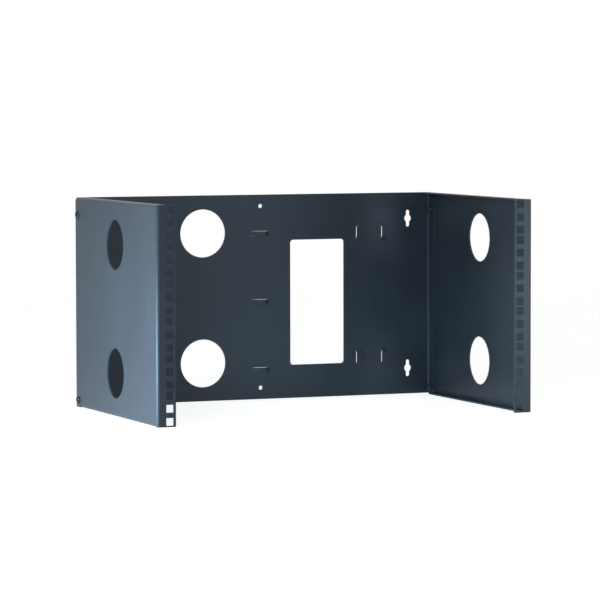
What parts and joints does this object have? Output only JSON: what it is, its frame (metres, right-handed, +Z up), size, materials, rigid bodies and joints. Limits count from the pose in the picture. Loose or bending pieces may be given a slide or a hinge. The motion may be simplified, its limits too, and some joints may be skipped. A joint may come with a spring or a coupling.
{
  "type": "wall mount open frame rack",
  "caption": "Open wall bracket for standard 19 inch rack equipment: a back panel and two folded side panels with square-holed rails, cable holes, an outlet opening and cable tie bridges.",
  "frame": {"origin": "under the middle of the bracket, on the surface that its lower edges stand on", "axes": "+Z up, +X to the right as seen from the front, +Y to the wall; equipment goes in from -Y"},
  "size_m": [0.5032, 0.305, 0.2667],
  "materials": {
    "powder_coat": "satin",
    "screw": "semi-gloss"
  },
  "bodies": {
    "root": {"back_panel": "powder_coat", "left_side_panel": "powder_coat", "right_side_panel": "powder_coat", "clinch_nut_left_top": "powder_coat", "clinch_nut_left_bottom": "powder_coat", "clinch_nut_right_top": "powder_coat", "clinch_nut_right_bottom": "powder_coat", "corner_screw_left_top": "screw", "corner_screw_left_bottom": "screw", "corner_screw_right_top": "screw", "corner_screw_right_bottom": "screw"}
  },
  "joints": []
}
